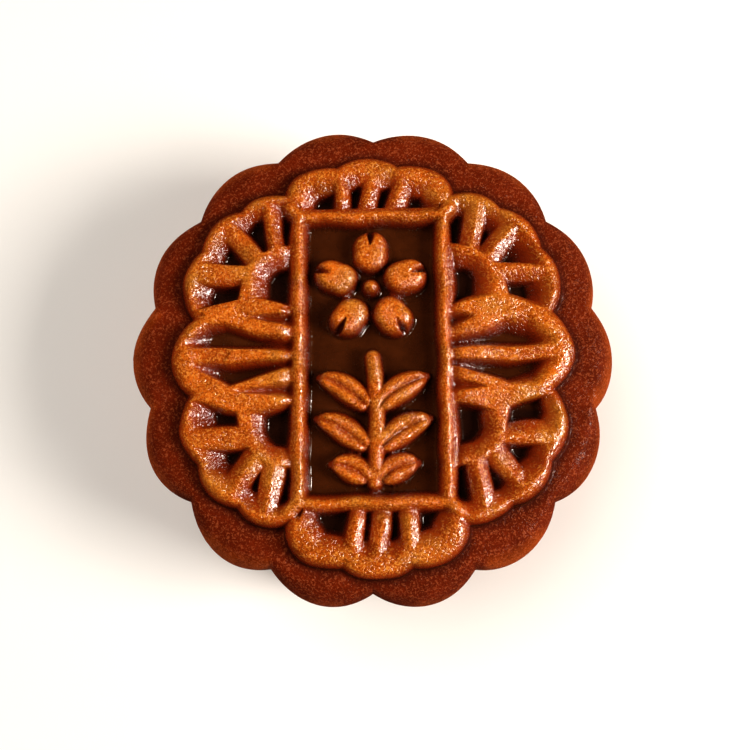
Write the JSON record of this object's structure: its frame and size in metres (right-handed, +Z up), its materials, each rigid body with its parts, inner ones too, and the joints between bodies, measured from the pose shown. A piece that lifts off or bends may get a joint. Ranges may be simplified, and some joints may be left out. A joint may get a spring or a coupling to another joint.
{
  "type": "mooncake",
  "caption": "Round baked mooncake with a fluted side and a deep pressed relief: a framed panel with a blossom and a leafy sprig, between wing and fan petals.",
  "frame": {"origin": "middle of the flat base, on the surface the cake rests on", "axes": "+Z up through the pressed top, the panel's long side along Y with the blossom towards +Y, the wings along X"},
  "size_m": [0.0784, 0.0778, 0.0321],
  "materials": {
    "crust": "baked golden-brown pastry crust under a thin, glossy egg wash"
  },
  "bodies": {
    "root": {"mooncake": "crust"}
  },
  "joints": []
}
